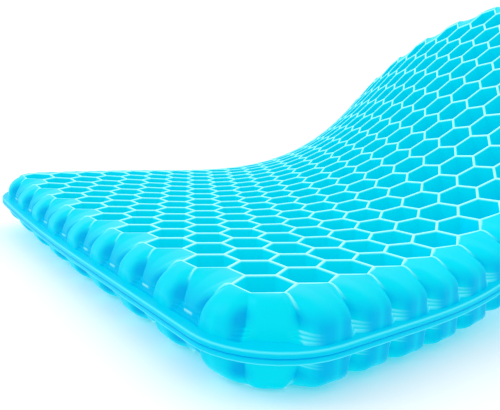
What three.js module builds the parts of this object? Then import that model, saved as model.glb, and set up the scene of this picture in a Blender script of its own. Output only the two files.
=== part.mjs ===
// Honeycomb gel seat cushion, millimetres, +Z up.
// X runs across the seat and Y from its front edge to its rear. The pad is moulded flat and is held bent here:
// the front lies on the seat, and the rest rises in one long bend that starts sooner on the +X side.
import * as THREE from 'three';

// Honeycomb: hexagons with two walls parallel to X, in columns that stand half a cell apart.
const CELL_EDGE = 12.5; // length of one wall
const ROW_PITCH = Math.sqrt(3) * CELL_EDGE; // cell to cell along a column
const OPEN_COLUMNS = 17;
const OPEN_ROWS = 19;
const SIDE_MARGIN = 2.6 * CELL_EDGE; // centre of the outermost open cell to the rim's side edge
const END_MARGIN = 2.3 * CELL_EDGE; // the same to the rim's front and rear edges

// Pad as moulded: an upper and a lower honeycomb back to back, each on a sheet that ends in a lip.
const WIDTH = (OPEN_COLUMNS - 1) * 1.5 * CELL_EDGE + 2 * SIDE_MARGIN;
const LENGTH = (OPEN_ROWS - 1) * ROW_PITCH + 2 * END_MARGIN;
const THICKNESS = 2.8 * CELL_EDGE;
const SHEET = 2.5; // one half's sheet and lip
const LEDGE = 7; // how far the lips stand out past the cell walls
const SHOULDER = 8; // radius that rounds the outer walls into the top
const RIM_CORNER = 36; // plan radius of the lips' corners
const GAP = 0.3; // clearance between a half's sheet, its cells and the other half

// Bend of the middle plane. Each value is given at X = 0 and changes over TWIST_SPAN towards +X.
const TWIST_SPAN = 150;
const RISE = 43; // degrees that the rear climbs
const RISE_CHANGE = -4;
const BEND_MIDDLE = 214; // distance along the pad from its front edge
const BEND_MIDDLE_CHANGE = -72.5;
const BEND_MIDDLE_CURVE = 25;
const BEND_LENGTH = 280;
const BEND_LENGTH_CHANGE = -85;
const LEAN = -0.1; // sideways shift for each millimetre of climb
const CURL = 8; // rise of the -X side at the front, which fades to nothing at CURL_FADE and then falls
const CURL_START = 20;
const CURL_SPAN = 172;
const CURL_FADE = 250;

// Folds: straight rows of cells, 30 degrees off the X axis, along which the gel gives.
const FOLD_SLOPE = -Math.tan(THREE.MathUtils.degToRad(30));
const FOLD_CELLS = [6, 9, 12]; // the cell that each fold runs through at X = 0, counted from the front
const FOLD_AT = FOLD_CELLS.map((cell) => END_MARGIN + cell * ROW_PITCH);
const FOLD_STRIP = ROW_PITCH; // one row of cells gives at each fold
const FOLD_GAP = 1; // clearance between a fold and the panels beside it

// Mesh density.
const CORE_COLUMNS = 5;
const PANEL_ROWS = 5;
const FOLD_ROWS = 2;
const ARC_STEPS = 32;

const GEL = 0x16d6f2;
const GEL_PALE = 0x2fe0f6;

const { smoothstep, lerp, degToRad, clamp } = THREE.MathUtils;

// Slope of the middle plane at the distance `along` from the front edge.
function slope(x, along) {
  const side = x / TWIST_SPAN;
  const middle = BEND_MIDDLE + BEND_MIDDLE_CHANGE * side + BEND_MIDDLE_CURVE * side * side;
  const half = (BEND_LENGTH + BEND_LENGTH_CHANGE * side) / 2;
  return degToRad(RISE + RISE_CHANGE * side) * smoothstep(along, middle - half, middle + half);
}

// Rise of the -X side over the rest of the bend.
function curl(x, along) {
  const side = Math.max(CURL_START - x, 0) / CURL_SPAN;
  return CURL * side * side * (1 - (along / CURL_FADE) ** 2);
}

// Maps a point of the flat pad onto the bent one: x across, along from the front edge, height off the middle plane.
function bend(x, along, height) {
  const step = along / ARC_STEPS;
  let y = 0;
  let z = 0;
  for (let i = 0; i < ARC_STEPS; i += 1) {
    const angle = slope(x, (i + 0.5) * step);
    y += Math.cos(angle) * step;
    z += Math.sin(angle) * step;
  }
  const tilt = slope(x, along);
  const up = z + height * Math.cos(tilt) + curl(x, along);
  return new THREE.Vector3(x + LEAN * z, y - height * Math.sin(tilt), up);
}

// How far a rounded corner pulls the end edge back, at the distance `inward` from the side edge.
function cornerPull(inward, radius) {
  const reach = radius - clamp(inward, 0, radius);
  return radius - Math.sqrt(radius * radius - reach * reach);
}

// A layer's height over its side walls: a quarter round that ends at `full`.
function shoulderHeight(inward, full, radius) {
  const reach = radius - clamp(inward, 0, radius);
  return full - radius + Math.sqrt(radius * radius - reach * reach);
}

// The two kinds of layer in a half: its sheet with the lip, and the block of cells with its rounded shoulder.
const QUARTER = [0, 30, 60, 90].map((angle) => 1 - Math.cos(degToRad(angle)));
const LAYERS = [
  {
    name: 'sheet',
    colour: GEL_PALE,
    inset: 0,
    corner: RIM_CORNER,
    low: GAP / 2,
    high: () => SHEET,
    steps: [0, 5, LEDGE + SHOULDER],
  },
  {
    name: 'cells',
    colour: GEL,
    inset: LEDGE,
    corner: RIM_CORNER - LEDGE,
    low: SHEET + GAP,
    high: (inward) => shoulderHeight(inward, THICKNESS / 2, SHOULDER),
    steps: QUARTER.map((part) => LEDGE + SHOULDER * part),
  },
];

// Stretches of the pad from front to rear: panels that keep their shape, and a fold between each two of them.
const PANEL_NAMES = ['front', 'front_middle', 'rear_middle', 'rear'];
const FOLD_NAMES = ['front_fold', 'middle_fold', 'rear_fold'];
const foldHalf = (FOLD_STRIP - FOLD_GAP) / 2;
const panelStart = (FOLD_STRIP + FOLD_GAP) / 2;
const stretches = [];
PANEL_NAMES.forEach((name, i) => {
  stretches.push({
    name,
    rows: PANEL_ROWS,
    from: i === 0 ? null : FOLD_AT[i - 1] + panelStart,
    to: i === PANEL_NAMES.length - 1 ? null : FOLD_AT[i] - panelStart,
  });
});
FOLD_NAMES.forEach((name, i) => {
  stretches.push({ name, rows: FOLD_ROWS, from: FOLD_AT[i] - foldHalf, to: FOLD_AT[i] + foldHalf });
});

// Distances across the pad at which a layer's mesh has columns.
function columnsOf(layer) {
  const left = [...layer.steps, RIM_CORNER].map((inward) => inward - WIDTH / 2);
  const right = left.map((x) => -x).reverse();
  const core = [];
  for (let i = 1; i < CORE_COLUMNS; i += 1) {
    core.push(lerp(left.at(-1), right[0], i / CORE_COLUMNS));
  }
  return [...left, ...core, ...right];
}

// Rows of one column at a free end: they follow the outline and its shoulder, closer together where the
// fold's cut leaves little room, and `room` is the pad's length from the outline's end to that cut.
function endRows(layer, x, room) {
  const inward = WIDTH / 2 - Math.abs(x) - layer.inset;
  const outline = layer.inset + cornerPull(inward, layer.corner);
  const run = layer.steps.at(-1) - layer.inset;
  const scale = Math.min(1, (room - outline) / (2 * run));
  return layer.steps.map((step) => outline + (step - layer.inset) * scale);
}

// Distances along the pad at which one column has rows.
function rowsOf(layer, stretch, x) {
  const shift = FOLD_SLOPE * x;
  const lowEnd = stretch.from === null ? endRows(layer, x, stretch.to + shift) : [stretch.from + shift];
  const highEnd = stretch.to === null
    ? endRows(layer, x, LENGTH - stretch.from - shift).map((row) => LENGTH - row).reverse()
    : [stretch.to + shift];
  const between = [];
  for (let i = 1; i < stretch.rows; i += 1) {
    between.push(lerp(lowEnd.at(-1), highEnd[0], i / stretch.rows));
  }
  return [...lowEnd, ...between, ...highEnd];
}

// Distance from a point to the layer's nearest outer wall. A fold's cut is no outer wall.
function inwardOf(layer, stretch, x, along) {
  const side = WIDTH / 2 - Math.abs(x) - layer.inset;
  const pull = cornerPull(side, layer.corner) + layer.inset;
  const front = stretch.from === null ? along - pull : Infinity;
  const rear = stretch.to === null ? LENGTH - along - pull : Infinity;
  return Math.max(0, Math.min(side, front, rear));
}

// Closed slab of one layer over one stretch. `sign` is 1 in the upper half and -1 in the lower half.
function slabGeometry(layer, stretch, sign) {
  const columns = columnsOf(layer);
  const grid = columns.map((x) => rowsOf(layer, stretch, x));
  const rowCount = grid[0].length;
  const positions = [];
  for (const face of ['high', 'low']) {
    columns.forEach((x, i) => {
      for (const along of grid[i]) {
        const height = face === 'low' ? layer.low : layer.high(inwardOf(layer, stretch, x, along));
        positions.push(...bend(x, along, sign * height));
      }
    });
  }
  const lowStart = columns.length * rowCount;
  const index = [];
  const quad = (a, b, c, d) => {
    index.push(...(sign > 0 ? [a, b, c, a, c, d] : [a, c, b, a, d, c]));
  };
  for (let i = 0; i + 1 < columns.length; i += 1) {
    for (let j = 0; j + 1 < rowCount; j += 1) {
      const corner = i * rowCount + j;
      const next = corner + rowCount;
      quad(corner, next, next + 1, corner + 1);
      quad(lowStart + corner, lowStart + corner + 1, lowStart + next + 1, lowStart + next);
    }
  }
  // Walls join the two faces along a loop around the grid that runs anticlockwise seen from above.
  const loop = [];
  for (let i = 0; i + 1 < columns.length; i += 1) loop.push(i * rowCount);
  for (let j = 0; j + 1 < rowCount; j += 1) loop.push((columns.length - 1) * rowCount + j);
  for (let i = columns.length - 1; i > 0; i -= 1) loop.push(i * rowCount + rowCount - 1);
  for (let j = rowCount - 1; j > 0; j -= 1) loop.push(j);
  // Both sides of a fold's cut are split along the same diagonals, so they stay parallel.
  loop.forEach((here, k) => {
    const next = loop[(k + 1) % loop.length];
    if (here < next) {
      quad(lowStart + here, lowStart + next, next, here);
    } else {
      quad(lowStart + next, next, here, lowStart + here);
    }
  });
  const geometry = new THREE.BufferGeometry();
  geometry.setAttribute('position', new THREE.Float32BufferAttribute(positions, 3));
  geometry.setIndex(index);
  geometry.computeVertexNormals();
  return geometry;
}

const group = new THREE.Group();
for (const stretch of stretches) {
  for (const [halfName, sign] of [['upper', 1], ['lower', -1]]) {
    for (const layer of LAYERS) {
      const material = new THREE.MeshStandardMaterial({
        color: layer.colour,
        roughness: 0.35,
        metalness: 0,
        flatShading: true,
      });
      const mesh = new THREE.Mesh(slabGeometry(layer, stretch, sign), material);
      mesh.name = `${stretch.name}_${halfName}_${layer.name}`;
      group.add(mesh);
    }
  }
}

// The origin is the middle of the bounding box's bottom.
const box = new THREE.Box3().setFromObject(group);
const middle = box.getCenter(new THREE.Vector3());
group.position.set(-middle.x, -middle.y, -box.min.z);
group.updateMatrixWorld(true);

export default group;
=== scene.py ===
import math

import bpy
import numpy as np
from mathutils import Matrix, Vector


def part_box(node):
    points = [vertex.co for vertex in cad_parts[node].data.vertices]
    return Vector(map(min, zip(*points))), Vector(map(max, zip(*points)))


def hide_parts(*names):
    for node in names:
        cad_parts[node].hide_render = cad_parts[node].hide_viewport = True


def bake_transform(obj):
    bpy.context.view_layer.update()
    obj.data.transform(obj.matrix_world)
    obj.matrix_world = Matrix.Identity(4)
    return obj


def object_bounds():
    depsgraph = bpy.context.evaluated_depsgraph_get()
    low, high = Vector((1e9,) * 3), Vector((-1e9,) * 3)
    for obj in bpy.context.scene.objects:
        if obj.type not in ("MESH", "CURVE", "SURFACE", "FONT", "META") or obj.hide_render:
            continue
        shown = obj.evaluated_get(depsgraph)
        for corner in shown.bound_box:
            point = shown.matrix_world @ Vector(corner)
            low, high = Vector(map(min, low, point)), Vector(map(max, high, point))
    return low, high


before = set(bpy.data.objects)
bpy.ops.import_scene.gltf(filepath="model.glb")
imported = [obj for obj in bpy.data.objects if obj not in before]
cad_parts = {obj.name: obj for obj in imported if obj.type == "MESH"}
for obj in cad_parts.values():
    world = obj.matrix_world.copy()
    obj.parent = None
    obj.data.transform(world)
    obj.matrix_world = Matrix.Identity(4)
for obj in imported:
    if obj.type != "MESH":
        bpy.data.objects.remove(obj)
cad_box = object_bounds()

# ---- Backing sheets with the rim's lips --------------------------------------------------------
# The pad is two mouldings of thermoplastic gel (TPE), laid back to back. Each has a thin sheet that ends
# in a lip, so the rim shows two soft edges with a seam between them. The halves are cast flat, and flex
# when the pad is lifted.
MM = 0.001
CELL_EDGE = 12.5  # one wall of a hexagonal cell, in millimetres, as all sizes here
ROW_PITCH = math.sqrt(3) * CELL_EDGE
SIDE_COLUMNS = 8  # open columns on each side of the middle one
OPEN_ROWS = 19
SIDE_MARGIN = 2.6 * CELL_EDGE
END_MARGIN = 2.3 * CELL_EDGE
HALF_WIDTH = 1.5 * CELL_EDGE * SIDE_COLUMNS + SIDE_MARGIN
LENGTH = (OPEN_ROWS - 1) * ROW_PITCH + 2 * END_MARGIN
HALF_THICKNESS = 1.4 * CELL_EDGE
SHEET = 2.5
RIM_CORNER = 39
LIP_ROUNDING = 0.9
CREASE = 55  # edges of the gel sharper than this, in degrees, stay crisp
SHEET_ROWS = 25
CORE_COLUMNS = 10
CORNER_STEP = 9  # degrees between two columns of a sheet's rounded corner

FOLD_ANGLE = math.radians(30)  # a straight row of cells runs this far off the X axis
FOLD_SLOPE = -math.tan(FOLD_ANGLE)
SPLIT_CELLS = (7.5, 10.5)  # the visible gel is split half-way between two folds

# Bend of the pad's middle plane. Each value is given at X = 0 and changes over TWIST_SPAN towards +X.
TWIST_SPAN = 150
RISE, RISE_CHANGE = 43, -4  # degrees that the rear climbs
BEND_MIDDLE, BEND_MIDDLE_CHANGE, BEND_MIDDLE_CURVE = 214, -72.5, 25
BEND_LENGTH, BEND_LENGTH_CHANGE = 280, -85
LEAN = -0.1  # sideways shift for each millimetre of climb
CURL = 8  # rise of the -X side at the front, which fades to nothing at CURL_FADE and then falls
CURL_START, CURL_SPAN, CURL_FADE = 20, 172, 250
BEND_STEPS = 48
flat_sheet_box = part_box("front_upper_sheet")
ORIGIN = np.array([
    flat_sheet_box[1][0] / MM - HALF_WIDTH,
    flat_sheet_box[0][1] / MM,
    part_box("front_lower_cells")[0][2] / MM + HALF_THICKNESS,
])


def slope(x, along):
    """Slope of the pad's middle plane, in radians, at a distance along it from the front edge."""
    side = x / TWIST_SPAN
    middle = BEND_MIDDLE + BEND_MIDDLE_CHANGE * side + BEND_MIDDLE_CURVE * side**2
    length = BEND_LENGTH + BEND_LENGTH_CHANGE * side
    part = np.clip((along - middle) / length + 0.5, 0, 1)
    return np.radians(RISE + RISE_CHANGE * side) * part**2 * (3 - 2 * part)


def curl(x, along):
    """Rise of the -X side over the rest of the bend."""
    side = np.maximum(CURL_START - x, 0) / CURL_SPAN
    return CURL * side**2 * (1 - (along / CURL_FADE) ** 2)


def bend(flat):
    """Flexes points of the flat pad (x, distance along, height off the middle plane), to metres."""
    x, along, height = np.asarray(flat, float).T
    steps = (np.arange(BEND_STEPS) + 0.5) / BEND_STEPS
    angle = slope(x[:, None], along[:, None] * steps)
    y = np.cos(angle).mean(axis=1) * along
    z = np.sin(angle).mean(axis=1) * along
    tilt = slope(x, along)
    up = z + height * np.cos(tilt) + curl(x, along)
    flexed = np.stack([x + LEAN * z, y - height * np.sin(tilt), up], axis=1)
    return (flexed + ORIGIN) * MM


def linear(code):
    """Linear colour of an sRGB hex code."""
    values = [int(code[i:i + 2], 16) / 255 for i in (0, 2, 4)]
    return (*[v / 12.92 if v <= 0.04045 else ((v + 0.055) / 1.055) ** 2.4 for v in values], 1)


def add_node(material, kind, settings=None, links=None):
    """Adds a shader node. `settings` sets its properties and sockets, `links` maps a socket to a source."""
    made = material.node_tree.nodes.new(kind)
    for key, value in (settings or {}).items():
        if isinstance(key, str) and hasattr(made, key):
            setattr(made, key, value)
        else:
            made.inputs[key].default_value = value
    for key, source in (links or {}).items():
        material.node_tree.links.new(source, made.inputs[key])
    return made


# Cast TPE gel: soft, clear and saturated, so light spreads inside it and thick places look deeper blue.
# The deeper blue is also painted in as shade: in grooves, on lobe flanks turned from the lamp, low in
# the cells and along the seam of the lips. Its wall tops are thin enough to let light out, and are painted
# almost white, with painted highlights on the wall tops, spikes, steps and the lip's edge. The light that it
# passes on is stood for by a painted glow of emission, stronger on the painted pale edges, because the
# mesh is closed and not see-through.
GEL_SHADE = "00e4f5"
GEL_FLOW = "00def5"  # slightly different tone, in clouds where the gel flowed into the mould
GEL_DEEP_AND_SHADE = "00b2ea"  # thick gel, and painted shade in grooves, on shaded flanks, low in cells and at the lip seam
GEL_EDGE_AND_HIGHLIGHT = "b4ffff"  # the thin top of a wall, painted almost white as a painted highlight; also the painted glints
GEL_SKIN = 0.42  # part of the colour that comes off the surface
FLOW_CLOUD = 25  # millimetres across
SKIN_GRAIN = 10 / 9  # the grain that the mould leaves, drawn coarser than it is so that it shows
cast_gel = bpy.data.materials.new("cast_tpe_gel")
cast_gel.use_nodes = True
cast_gel.node_tree.nodes.clear()
place = add_node(cast_gel, "ShaderNodeTexCoord").outputs["Object"]
flow = add_node(cast_gel, "ShaderNodeTexNoise", {"Scale": 1 / (FLOW_CLOUD * MM), "Detail": 2},
                {"Vector": place})
body_colour = add_node(cast_gel, "ShaderNodeMix", {"data_type": "RGBA", 6: linear(GEL_SHADE),
                                                    7: linear(GEL_FLOW)}, {0: flow.outputs["Fac"]})
# Thick-gel tone and painted shade, read from the mesh's points.
depth_and_shade_amount = add_node(cast_gel, "ShaderNodeAttribute", {"attribute_name": "gel_depth_and_shade"}).outputs["Fac"]
depth_and_shade_colour = add_node(cast_gel, "ShaderNodeMix", {"data_type": "RGBA", 7: linear(GEL_DEEP_AND_SHADE)},
                       {0: depth_and_shade_amount, 6: body_colour.outputs[2]})
pale_amount = add_node(cast_gel, "ShaderNodeAttribute", {"attribute_name": "pale_edge"}).outputs["Fac"]
gel_colour = add_node(cast_gel, "ShaderNodeMix", {"data_type": "RGBA", 7: linear(GEL_EDGE_AND_HIGHLIGHT)},
                      {0: pale_amount, 6: depth_and_shade_colour.outputs[2]})
skin = add_node(cast_gel, "ShaderNodeTexNoise", {"Scale": 1 / (SKIN_GRAIN * MM), "Detail": 3},
                {"Vector": place})
bump = add_node(cast_gel, "ShaderNodeBump", {"Strength": 0.08, "Distance": 0.0004},
                {"Height": skin.outputs["Fac"]})
rough = add_node(cast_gel, "ShaderNodeMapRange", {"To Min": 0.25, "To Max": 0.38},
                 {"Value": flow.outputs["Fac"]})
# Painted glow: emission in the gel's colour, stronger where pale edges and highlights are painted.
painted_glow = add_node(cast_gel, "ShaderNodeMapRange", {"To Min": 0.56, "To Max": 0.75},
                {"Value": pale_amount})
skin_colour = add_node(cast_gel, "ShaderNodeMix", {
    "data_type": "RGBA",
    "blend_type": "MULTIPLY",
    0: 1.0,
    7: (GEL_SKIN, GEL_SKIN, GEL_SKIN, 1),
}, {6: gel_colour.outputs[2]})
gel_surface = add_node(cast_gel, "ShaderNodeBsdfPrincipled", {
    "IOR": 1.46,
    "Specular IOR Level": 0.04,
    "Subsurface Weight": 0.3,
    "Subsurface Radius": (0.05, 0.8, 1.0),
    "Subsurface Scale": 0.003,
}, {
    "Base Color": skin_colour.outputs[2],
    "Roughness": rough.outputs[0],
    "Normal": bump.outputs[0],
    "Emission Color": gel_colour.outputs[2],
    "Emission Strength": painted_glow.outputs[0],
})
add_node(cast_gel, "ShaderNodeOutputMaterial", links={"Surface": gel_surface.outputs[0]})


def rim_inset(x, along):
    """Distance in from the rim's rounded outline, and the direction straight out to it."""
    across = np.array([abs(x), abs(along - LENGTH / 2)])
    reach = across - np.array([HALF_WIDTH, LENGTH / 2]) + RIM_CORNER
    signs = np.array([math.copysign(1, x), math.copysign(1, along - LENGTH / 2)])
    if reach.min() > 0:
        span = np.linalg.norm(reach)
        return RIM_CORNER - span, reach / span * signs
    axis = int(reach.argmax())
    return RIM_CORNER - reach[axis], np.eye(2)[axis] * signs


def corner_pull(inward, radius):
    """How far a rounded corner pulls the end edge back, at a distance in from the side edge."""
    reach = radius - min(max(inward, 0), radius)
    return radius - math.sqrt(radius**2 - reach**2)


def gel_object(name, flat, faces, sign, pale=(), depth_and_shade=()):
    """Makes the flexed mesh of a piece. In the lower half it is the upper half's mirror image.

    The two lists of amounts say how pale each point is painted, for thin gel and painted highlights, and how
    dark, for thick gel and painted shade, both from 0 to 1.
    """
    mirrored = np.array(flat, float) * (1, 1, sign)
    mesh = bpy.data.meshes.new(name)
    mesh.from_pydata(bend(mirrored).tolist(), [], [f if sign > 0 else f[::-1] for f in faces])
    for amount, values in (("pale_edge", pale), ("gel_depth_and_shade", depth_and_shade)):
        if len(values):
            mesh.attributes.new(amount, "FLOAT", "POINT").data.foreach_set("value", values)
    mesh.materials.append(cast_gel)
    mesh.shade_smooth()
    mesh.set_sharp_from_angle(angle=math.radians(CREASE))
    mesh.validate()
    made = bpy.data.objects.new(name, mesh)
    bpy.context.scene.collection.objects.link(made)
    weighted = made.modifiers.new("even_facets", "WEIGHTED_NORMAL")
    weighted.weight = 60
    weighted.keep_sharp = True
    return made


# The three visible lengths of the pad. Each bends over one fold, between the two bodies beside it.
LENGTHS = {  # name of the length: its two bodies, and the stretches of the CAD model that it stands for
    "front": (("front_panel", "front_middle_panel"), ("front", "front_fold")),
    "middle": (("front_middle_panel", "rear_middle_panel"), ("front_middle", "middle_fold", "rear_middle")),
    "rear": (("rear_middle_panel", "rear_panel"), ("rear_fold", "rear")),
}


def settle(made, length, nodes):
    """Bakes a piece's placement into its mesh, and hides the CAD nodes of the same length, which it stands
    for.
    """
    bodies, stretches = LENGTHS[length]
    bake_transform(made)
    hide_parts(*[f"{stretch}_{nodes}" for stretch in stretches])


def split_line(number, x):
    """Distance along the pad at which one length ends and the next begins."""
    return END_MARGIN + SPLIT_CELLS[number] * ROW_PITCH + FOLD_SLOPE * x


def sheet_rows(length, x, inset):
    """Distances along the pad of one column's rows, from one end of this length to its other end."""
    pull = inset + corner_pull(HALF_WIDTH - inset - abs(x), RIM_CORNER - inset)
    low = {"front": pull, "middle": split_line(0, x), "rear": split_line(1, x)}[length]
    high = {"front": split_line(0, x), "middle": split_line(1, x), "rear": LENGTH - pull}[length]
    return np.linspace(low, high, SHEET_ROWS)


def sheet_grid(length, inset, height):
    """Columns of points over one length of a sheet, closer together where its corners are rounded."""
    half = HALF_WIDTH - inset
    corner = RIM_CORNER - inset
    turns = [1 - math.cos(math.radians(angle)) for angle in range(0, 91, CORNER_STEP)]
    side = [corner * turn - half for turn in turns]
    columns = [*side, *np.linspace(side[-1], -side[-1], CORE_COLUMNS)[1:-1], *[-x for x in reversed(side)]]
    return [[(x, along, height) for along in sheet_rows(length, x, inset)] for x in columns]


def grid_loop(columns, rows):
    """Numbers of a grid's outline points, anticlockwise from above."""
    last = (columns - 1) * rows
    return [
        *range(0, last, rows),
        *range(last, last + rows - 1),
        *range(last + rows - 1, rows - 1, -rows),
        *range(rows - 1, 0, -1),
    ]


LIP_SECTION = (  # inset from the rim, height, painted shade (darkest at the seam under the lip), painted highlight (on the upper lip's rounded edge)
    (LIP_ROUNDING, SHEET, 0.35, 0),
    (0.25, SHEET - 0.25, 0, 0.22),
    (0, SHEET - LIP_ROUNDING, 0.3, 0),
    (0, 0.5, 0.45, 0),
    (0.2, 0.15, 1, 0),
    (0.6, 0.03, 1, 0),
)
for half_name, sign in (("upper", 1), ("lower", -1)):
    for length in LENGTHS:
        layers = [sheet_grid(length, inset, height) for inset, height, _, _ in LIP_SECTION]
        columns, rows = len(layers[0]), len(layers[0][0])
        loop = grid_loop(columns, rows)
        flat = [point for column in layers[0] for point in column]
        rings = [loop]
        for layer in layers[1:-1]:
            points = [point for column in layer for point in column]
            rings.append(list(range(len(flat), len(flat) + len(loop))))
            flat += [points[i] for i in loop]
        under = len(flat)
        flat += [point for column in layers[-1] for point in column]
        rings.append([under + i for i in loop])
        counts = [columns * rows, *[len(loop)] * (len(layers) - 2), columns * rows]
        # Painted shade toward the seam under the lip, and a painted highlight along the upper lip's edge.
        depth_and_shade = np.repeat([lip_shade for _, _, lip_shade, _ in LIP_SECTION], counts)
        pale = np.repeat([paleness for _, _, _, paleness in LIP_SECTION], counts)
        faces = []
        for i in range(columns - 1):
            for j in range(rows - 1):
                a, b = i * rows + j, (i + 1) * rows + j
                faces.append((a, b, b + 1, a + 1))
                faces.append((under + a, under + a + 1, under + b + 1, under + b))
        for upper, lower in zip(rings, rings[1:]):
            for k in range(len(loop)):
                n = (k + 1) % len(loop)
                faces.append((upper[k], lower[k], lower[n], upper[n]))
        sheet = gel_object(f"{half_name}_sheet_{length}", flat, faces, sign, pale, depth_and_shade)
        settle(sheet, length, f"{half_name}_sheet")

# ---- Honeycomb walls ---------------------------------------------------------------------------
# Hexagonal cells of the same gel stand on each sheet, cast in one with it, with thin walls between them.
# Around the edge the outermost cells are closed over and run down to the lip as rounded lobes.
TIP = 0.9  # distance from a corner to the next point of a wall's top
RINGS = (  # inset from the wall's middle, rounding of the cell's corners, height under the top
    (0.4, 0.2, 0.05),
    (0.66, 0.5, 0.28),
    (0.78, 0.9, 0.8),
    (0.95, 1.6, 6.0),
    (1.15, 2.4, 11.5),
    (1.8, 3.0, 14.2),
    (3.2, 3.2, 14.7),
)
RING_PALE_AND_HIGHLIGHT = (1.0, 0.35, 0, 0, 0, 0, 0)  # only the rounded top of a wall is painted pale: thin gel with a painted highlight
CELL_FLOOR_SHADE = 0.45  # painted shade at the foot of a wall as tall as the half: cells are painted darker towards their floors
ROUNDING_CUT = 2 / math.sqrt(3) - 1  # what rounding takes off a hexagon's corner, for a radius of 1
FOOT = SHEET - 0.2  # the walls sink a little into the sheet
LOBE_COLUMNS = 18
SHOULDER_ROWS = 10
STEPS = ((6.6, 0), (6.3, 1), (5.3, 1), (5.0, 2), (4.0, 2), (3.7, 3), (FOOT, 3))  # height, steps passed
STEP_OUT = 1.5  # how far each step in a groove stands out past the one above it
FLANK = 0.3  # part of a lobe's width that each of its flanks takes
SPIKE = 1.5  # height of the short wall that runs on from the honeycomb into a groove
SPIKE_LENGTH = 11.0
SHORTEST_SPIKE = 7.0
# Foot of a lobe's face, from the rim; height and roundness of its shoulder; how dark shade is painted
# on its face, on the edge of the face, and in the groove, for flanks and grooves that the lamp reaches less.
SIDE_LOBE = (2.6, 8.5, 2.3, (0.35, 0.8, 0.1))
WIDE_LOBE = (4.6, 13.0, 1.75, (0.05, 0.25, 0.8))
NARROW_LOBE = (7.2, 12.5, 1.9, (0.6, 0.7, 0.7))
CORNER_LOBE = (9.0, 7.0, 2.8, (0.0, 0.0, 0.0))
GROOVE_INSET = 9.6
GROOVE_SHOULDER = (14.0, 1.55)
GROOVE_SHADE_PATCH = (0.9, 10.5, 4.0)  # strength, height and half-height of a patch of painted shade at the top of a groove
SHADE_STOPS = (0, 0.35, 0.8, 1.25, 1.7)  # where the painted shade changes across a flank, from the groove to the middle of the face
SHADE_TOP = 15  # height above which a lobe gets no painted shade, and how far below it the painted shade reaches full strength
SHADE_FADE = 6
DASH_HIGHLIGHT = 0.5  # how strong the painted highlight is on the short step low on a narrow lobe
DASH_REACH = 0.22  # part of the lobe's width that it runs to on each side of the middle
STEP_GLINT = 0.35  # how strong the painted glints on the steps in the side grooves are
FIRST_TURN = 0.03  # how far round its shoulder a lobe starts, so that its edge stays narrow
SPIKE_ONSET = 4  # how steeply its top rises from the honeycomb: it is full after a quarter of its length


class Moulding:
    """Points and faces of a piece in the flat pad. The same place always has the same number."""

    def __init__(self):
        self.flat, self.numbers, self.faces, self.outlines = [], {}, [], []
        self.pale, self.depth_and_shade = [], []

    def at(self, x, along, height, pale=0.0, depth_and_shade=0.0):
        key = (round(x, 2), round(along, 2), round(height, 2))
        if key not in self.numbers:
            self.numbers[key] = len(self.flat)
            self.flat.append((x, along, height))
            self.pale.append(pale)
            self.depth_and_shade.append(depth_and_shade)
        return self.numbers[key]

    def face(self, corners):
        kept = [c for i, c in enumerate(corners) if c != corners[i - 1]]
        if len(kept) > 2:
            self.faces.append(kept)

    def foot_of(self, number):
        x, along, _ = self.flat[number]
        return self.at(x, along, FOOT)

    def close(self):
        """Adds the underside of every tile, and a wall on each edge that no tile runs the other way.

        A lobe's outline runs the same way as a cell's along their shared edge, so a thin inner wall is
        left there.
        """
        used = {(a, b) for line in self.outlines for a, b in zip(line, line[1:] + line[:1])}
        for line in self.outlines:
            self.face([self.foot_of(n) for n in reversed(line)])
        for a, b in used:
            if (b, a) not in used:
                self.face([b, a, self.foot_of(a), self.foot_of(b)])


def hexagon_corner(centre, number, reach=CELL_EDGE):
    angle = math.radians(60 * number)
    return np.array([centre[0] + reach * math.cos(angle), centre[1] + reach * math.sin(angle)])


def wall_points(a, b):
    """Points of a wall's top between two corners, the second corner left out."""
    step = (b - a) / np.linalg.norm(b - a) * TIP
    return [a, a + step, b - step]


def add_cell(moulding, centre):
    """An open cell: its ring of shared wall tops, the walls going down, and its floor."""
    corners = [hexagon_corner(centre, k) for k in range(6)]
    top = [p for k in range(6) for p in wall_points(corners[k], corners[(k + 1) % 6])]
    # Wall tops are painted almost white: thin gel with a painted highlight.
    outer = [moulding.at(*p, HALF_THICKNESS, pale=1.0) for p in top]
    moulding.outlines.append(outer)
    for number, (inset, rounding, drop) in enumerate(RINGS):
        reach = CELL_EDGE - inset / math.cos(math.radians(30))
        inner_corners = [hexagon_corner(centre, k, reach) for k in range(6)]
        cut = max(rounding * math.tan(math.radians(30)), 0.5 * TIP)
        ring = []
        for k in range(6):
            a, b = inner_corners[k], inner_corners[(k + 1) % 6]
            step = (b - a) / reach * cut
            rounded = hexagon_corner(centre, k, reach - ROUNDING_CUT * rounding)
            ring += [rounded, a + step, b - step]
        # Painted shade, darker the lower down the cell.
        depth_and_shade = CELL_FLOOR_SHADE * drop / HALF_THICKNESS
        inner = [moulding.at(*p, HALF_THICKNESS - drop, RING_PALE_AND_HIGHLIGHT[number], depth_and_shade) for p in ring]
        for k in range(len(ring)):
            n = (k + 1) % len(ring)
            moulding.face([outer[k], outer[n], inner[n], inner[k]])
        outer = inner
    moulding.face(outer)


LONGEST_GROOVE = 60.0  # safely past the longest
HALVINGS = 30  # enough for the distance to be exact


def foot_point(start, direction, inset):
    """Where a ray from inside the pad comes to a given distance from the rim."""
    low, high = 0.0, LONGEST_GROOVE
    for _ in range(HALVINGS):
        reach = (low + high) / 2
        low, high = (reach, high) if rim_inset(*(start + direction * reach))[0] > inset else (low, reach)
    return start + direction * low


def set_inset(point, inset):
    """Moves a point straight out or in until it is a given distance from the rim."""
    for _ in range(3):
        now, out = rim_inset(*point)
        point = point + out * (now - inset)
    return point


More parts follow.
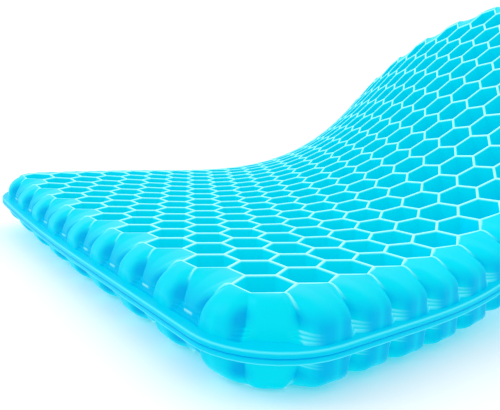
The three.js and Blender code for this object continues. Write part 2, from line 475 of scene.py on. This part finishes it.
def add_lobe(moulding, corners, first_out, last_out, kind):
    """A closed border cell: from its inner wall tops over a round shoulder down to the lip.

    Its faces and its outline are wound clockwise from outside, so a lobe's normals point into the gel.
    """
    face_inset, shoulder, roundness, (face_shade, edge_shade, groove_shade) = kind
    walls = len(corners) - 1
    per_wall = LOBE_COLUMNS // walls
    ridge, inner = [], []
    for a, b in zip(corners, corners[1:]):
        ridge += wall_points(a, b)
        near, far = wall_points(a, b)[1:]
        inner += [a, *[near + (far - near) * k / (per_wall - 2) for k in range(per_wall - 1)]]
    ridge.append(corners[-1])
    inner.append(corners[-1])
    first = foot_point(corners[0], first_out, GROOVE_INSET)
    last = foot_point(corners[-1], last_out, GROOVE_INSET)
    rows = [[] for _ in range(SHOULDER_ROWS + len(STEPS))]
    for k, start in enumerate(inner):
        u = k / LOBE_COLUMNS
        rise = min(u, 1 - u) / FLANK
        bulge = 1.0 if rise >= 1 else math.sin(math.pi / 2 * rise)
        base = first + (last - first) * u
        # Painted shade across the lobe: dark in the groove and on flanks turned from the lamp.
        lobe_shade = np.interp(rise, SHADE_STOPS, (groove_shade, groove_shade, edge_shade, edge_shade, face_shade))
        deep_shoulder = GROOVE_SHOULDER[0] + (shoulder - GROOVE_SHOULDER[0]) * bulge
        power = GROOVE_SHOULDER[1] + (roundness - GROOVE_SHOULDER[1]) * bulge
        foot = set_inset(base, GROOVE_INSET + (face_inset - GROOVE_INSET) * bulge)
        reach = np.linalg.norm(foot - start)
        for j in range(SHOULDER_ROWS):
            turn = math.pi / 2 * (FIRST_TURN if j == 0 else j / (SHOULDER_ROWS - 1))
            out = math.sin(turn) ** (2 / power)
            height = HALF_THICKNESS - min(deep_shoulder, HALF_THICKNESS - STEPS[0][0]) * (
                1 - max(math.cos(turn), 0) ** (2 / power))
            gone = (out * reach + HALF_THICKNESS - height) / SPIKE_LENGTH
            spike = max(0, 1 - gone) if bulge == 0 and reach > SHORTEST_SPIKE else 0
            place = start + (foot - start) * out
            # A patch of painted shade high in the groove, added to the lobe's painted shade, which fades in
            # towards the foot.
            groove_shade_patch = GROOVE_SHADE_PATCH[0] * (1 - bulge) * max(0, 1 - abs(height - GROOVE_SHADE_PATCH[1]) / GROOVE_SHADE_PATCH[2])
            depth_and_shade = min(1, lobe_shade * np.clip((SHADE_TOP - height) / SHADE_FADE, 0, 1) + groove_shade_patch)
            raised = height + SPIKE * spike * min(SPIKE_ONSET * gone, 1)
            # A spike's top is painted pale, a painted highlight like a wall top's.
            rows[j].append(moulding.at(*place, raised, spike, depth_and_shade))
        for j, (height, passed) in enumerate(STEPS):
            stepped = GROOVE_INSET - STEP_OUT * passed
            level = face_inset if kind is CORNER_LOBE else min(face_inset, stepped)
            inset = stepped + (level - stepped) * bulge
            # Painted highlights: a short dash on a narrow lobe's step, and glints on the steps of the side
            # grooves.
            glint = 0.0
            if kind is NARROW_LOBE and height == STEPS[3][0] and abs(u - 0.5) < DASH_REACH:
                glint = DASH_HIGHLIGHT
            elif kind is SIDE_LOBE and passed and height == STEPS[2 * passed - 1][0]:
                glint = STEP_GLINT * (1 - bulge)
            rows[SHOULDER_ROWS + j].append(moulding.at(*set_inset(base, inset), height, glint, lobe_shade))
    # The lobe's wall tops are painted almost white: thin gel with a painted highlight.
    top = [moulding.at(*p, HALF_THICKNESS, pale=1.0) for p in ridge]
    for w in range(walls):
        coarse, fine = 3 * w, per_wall * w
        edge_row = rows[0]
        moulding.face([top[coarse + 1], top[coarse], edge_row[fine], edge_row[fine + 1]])
        moulding.face([top[coarse + 2], top[coarse + 1], *edge_row[fine + 1:fine + per_wall]])
        moulding.face([top[coarse + 3], top[coarse + 2], *edge_row[fine + per_wall - 1:fine + per_wall + 1]])
    for upper, lower in zip(rows, rows[1:]):
        for k in range(LOBE_COLUMNS):
            moulding.face([upper[k + 1], upper[k], lower[k], lower[k + 1]])
    moulding.outlines.append([
        *reversed(top),
        *[row[0] for row in rows],
        *rows[-1][1:],
        *[row[-1] for row in reversed(rows[:-1])],
    ])


def cell_centre(column, row):
    """Centre of a cell. Odd columns stand half a cell further back."""
    return np.array([1.5 * CELL_EDGE * column, END_MARGIN + ROW_PITCH * (row + 0.5 * (column % 2))])


def length_of(centre):
    """Which of the three lengths a cell belongs to, by the slanting row that it stands in."""
    slanting = (centre[1] - FOLD_SLOPE * centre[0] - END_MARGIN) / ROW_PITCH
    return list(LENGTHS)[sum(slanting > split for split in SPLIT_CELLS)]


def way(degrees):
    """Unit step in a direction, in degrees from +X."""
    return np.array([math.cos(math.radians(degrees)), math.sin(math.radians(degrees))])


# Every cell and lobe of a half, under the length that it is in. A lobe's corners run clockwise from above,
# and its two angles are the ways in which the grooves beside it run out to the rim. Only the +X side and
# the front are listed, with their corners, because each lobe has a twin on the opposite side.
cells = {length: [] for length in LENGTHS}
lobes = {length: [] for length in LENGTHS}
for column in range(-SIDE_COLUMNS, SIDE_COLUMNS + 1):
    for row in range(OPEN_ROWS - column % 2):
        centre = cell_centre(column, row)
        cells[length_of(centre)].append(centre)


def turned(point):
    """The same place on the opposite side: the pad looks the same after half a turn."""
    return np.array([-point[0], LENGTH - point[1]])


def lobe(corners, first, last, kind):
    """Files a lobe and its twin on the opposite side of the pad under the lengths they belong to."""
    for places, angle in ((corners, 0), ([turned(c) for c in corners], 180)):
        middle = sum(places) / len(places)
        lobes[length_of(middle)].append((places, way(first + angle), way(last + angle), kind))


edge = SIDE_COLUMNS
for row in range(OPEN_ROWS - 1):
    closed = cell_centre(edge + 1, row)
    lobe([hexagon_corner(closed, k) for k in (2, 3, 4)], 0, 0, SIDE_LOBE)
for column in range(-edge, edge + 1, 2):
    open_cell = cell_centre(column, 0)
    lobe([hexagon_corner(open_cell, k) for k in (5, 4)], 300, 240, WIDE_LOBE)
    if column < edge:
        closed = cell_centre(column + 1, -1)
        lobe([hexagon_corner(closed, k) for k in (0, 1, 2, 3)], 240, 300, NARROW_LOBE)
corner_cell = cell_centre(edge, 0)
lobe([hexagon_corner(corner_cell, k) for k in (0, 5)], 0, 300, CORNER_LOBE)
corner_cell = cell_centre(-edge, 0)
lobe([hexagon_corner(corner_cell, k) for k in (4, 3)], 240, 180, CORNER_LOBE)

for half_name, sign in (("upper", 1), ("lower", -1)):
    for length in LENGTHS:
        moulding = Moulding()
        for centre in cells[length]:
            add_cell(moulding, centre)
        for made_lobe in lobes[length]:
            add_lobe(moulding, *made_lobe)
        moulding.close()
        honeycomb = gel_object(f"{half_name}_honeycomb_{length}", moulding.flat, moulding.faces, sign,
                               moulding.pale, moulding.depth_and_shade)
        settle(honeycomb, length, f"{half_name}_cells")

# ---- Floor and light ---------------------------------------------------------------------------
# A plain white table top, far wider than the view, in a white studio with one large soft lamp. It lies
# just clear of the pad.
FLOOR_REACH = 6.0  # metres, as all places and sizes in this section
FLOOR_GAP = 0.0005
floor_mesh = bpy.data.meshes.new("table_top")
floor_corners = [(x * FLOOR_REACH, y * FLOOR_REACH, 0) for x, y in ((-1, -1), (1, -1), (1, 1), (-1, 1))]
floor_mesh.from_pydata(floor_corners, [], [(0, 1, 2, 3)])
floor = bpy.data.objects.new("table_top", floor_mesh)
bpy.context.scene.collection.objects.link(floor)
floor.location.z = cad_box[0].z - FLOOR_GAP
# White laminate: matt, so it shows no reflection of the pad, only its soft shadow.
white_laminate = bpy.data.materials.new("white_laminate")
white_laminate.use_nodes = True
laminate = white_laminate.node_tree.nodes["Principled BSDF"]
laminate.inputs["Base Color"].default_value = linear("ffffff")
laminate.inputs["Roughness"].default_value = 0.6
laminate.inputs["Specular IOR Level"].default_value = 0.2
floor_mesh.materials.append(white_laminate)

world = bpy.data.worlds.new("studio")
world.use_nodes = True
world.node_tree.nodes["Background"].inputs["Color"].default_value = linear("ffffff")
world.node_tree.nodes["Background"].inputs["Strength"].default_value = 1.04
bpy.context.scene.world = world
bpy.context.scene.view_settings.view_transform = "Standard"


def softbox(name, place, target, size, power):
    """Hangs a square lamp that faces a target."""
    lamp = bpy.data.lights.new(name, "AREA")
    lamp.size, lamp.energy = size, power
    made = bpy.data.objects.new(name, lamp)
    made.location = place
    made.rotation_euler = (Vector(target) - Vector(place)).to_track_quat("-Z", "Y").to_euler()
    bpy.context.scene.collection.objects.link(made)
    return made


softbox("key_softbox", (-0.5, -1.1, 0.9), (0, 0, 0.05), 0.7, 4)
# Light that has come through the gel colours the table top under the raised side.
glow_lamp = softbox("light_through_gel", (0.13, -0.04, 0.012), (0.15, -0.04, 0.0), 0.14, 0.032)
glow_lamp.data.color = linear("38b4ff")[:3]
glow_lamp.visible_camera = False

# ---- Camera ------------------------------------------------------------------------------------
# Close to the near corner of the pad and a little above it, looking along it to the far end.
CAMERA_PLACE = np.array([307.81, -93.85, 81.56])  # millimetres from the middle of the front edge
CAMERA_FORWARD = (-0.796, 0.5811, -0.1692)
CAMERA_RIGHT = (0.5863, 0.8098, 0.0228)
camera_data = bpy.data.cameras.new("camera")
camera_data.lens = 39.74
camera_data.clip_start = 0.01
camera = bpy.data.objects.new("camera", camera_data)
forward = Vector(CAMERA_FORWARD).normalized()
right = Vector(CAMERA_RIGHT)
right = (right - forward * right.dot(forward)).normalized()
up = right.cross(forward)
facing = Matrix((right, up, -forward)).transposed().to_4x4()
camera.matrix_world = Matrix.Translation((CAMERA_PLACE + ORIGIN) * MM) @ facing
bpy.context.scene.collection.objects.link(camera)
bpy.context.scene.camera = camera
